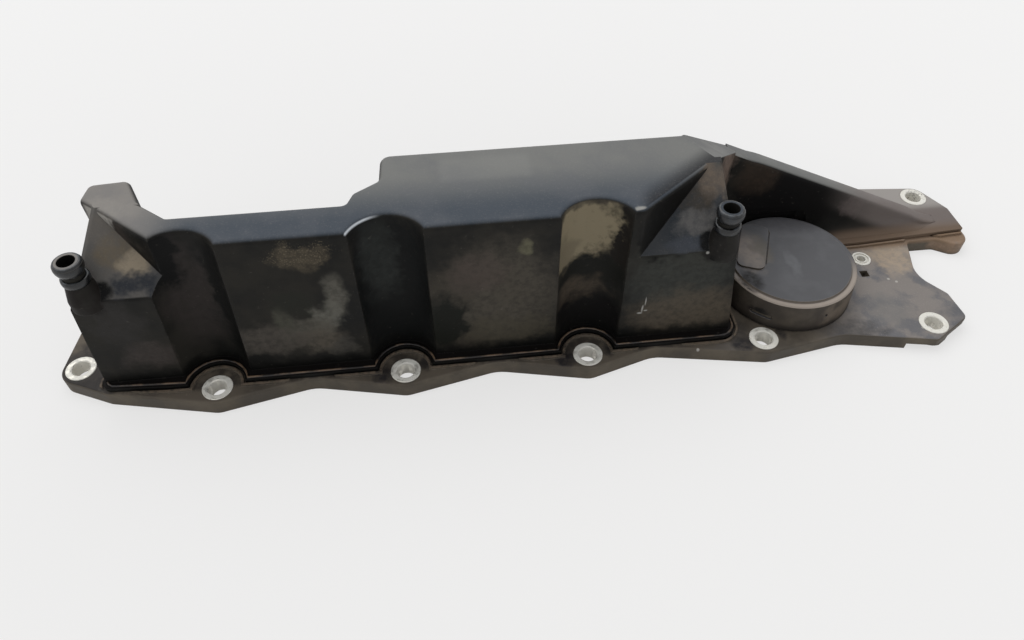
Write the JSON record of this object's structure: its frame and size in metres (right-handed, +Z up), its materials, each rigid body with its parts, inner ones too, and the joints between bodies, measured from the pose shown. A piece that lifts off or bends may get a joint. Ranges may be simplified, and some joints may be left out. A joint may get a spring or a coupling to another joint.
{
  "type": "engine valve cover",
  "caption": "Long moulded engine valve cover with scalloped bolting flange, welded oil separator box, upright hose stubs and a round crankcase pressure valve under a clipped cap.",
  "frame": {"origin": "on the axis of the middle bolt of the front row, in the sealing face", "axes": "+X along the front bolt row towards the forked end, +Y to the rear bolt row, +Z up, away from the engine"},
  "size_m": [0.4915, 0.118, 0.094],
  "materials": {
    "base_nylon": "moulded glass-filled nylon, oil-dulled and dusty",
    "housing_nylon": "moulded glass-filled nylon, satin, stained by oil and dust",
    "baffle_nylon": "moulded nylon, oily",
    "cap_nylon": "moulded nylon, dusty",
    "valve_nylon": "natural moulded nylon",
    "seal_rubber": "moulded acrylate rubber",
    "diaphragm_rubber": "moulded fluorosilicone rubber",
    "sleeve_steel": "zinc-plated steel, whitish with corrosion",
    "bush_steel": "zinc-plated steel",
    "spring_steel": "drawn stainless wire"
  },
  "bodies": {
    "cover": {"base_cover": "base_nylon", "separator_housing": "housing_nylon", "baffle_plate": "baffle_nylon", "gasket": "seal_rubber", "bolt_sleeve_f0": "sleeve_steel", "bolt_sleeve_f1": "sleeve_steel", "bolt_sleeve_f2": "sleeve_steel", "bolt_sleeve_f3": "sleeve_steel", "bolt_sleeve_f4": "sleeve_steel", "bolt_sleeve_f5": "sleeve_steel", "bolt_sleeve_r0": "sleeve_steel", "bolt_sleeve_r1": "sleeve_steel", "bolt_sleeve_r2": "sleeve_steel", "bolt_sleeve_r3": "sleeve_steel", "bolt_sleeve_r4": "sleeve_steel", "bolt_sleeve_r5": "sleeve_steel", "locating_bush": "bush_steel", "valve_cap": "cap_nylon", "diaphragm": "diaphragm_rubber", "valve_spring": "spring_steel"},
    "valve": {"valve_plate": "valve_nylon"}
  },
  "joints": [
    {"name": "valve_slide", "type": "slide", "parent": "cover", "child": "valve", "axis": [0, 0, 1], "range_m": [-0.0035, 0], "stiffness_N_per_m": 300, "springref_m": 0.004, "deforming": ["valve_spring", "diaphragm"]}
  ]
}
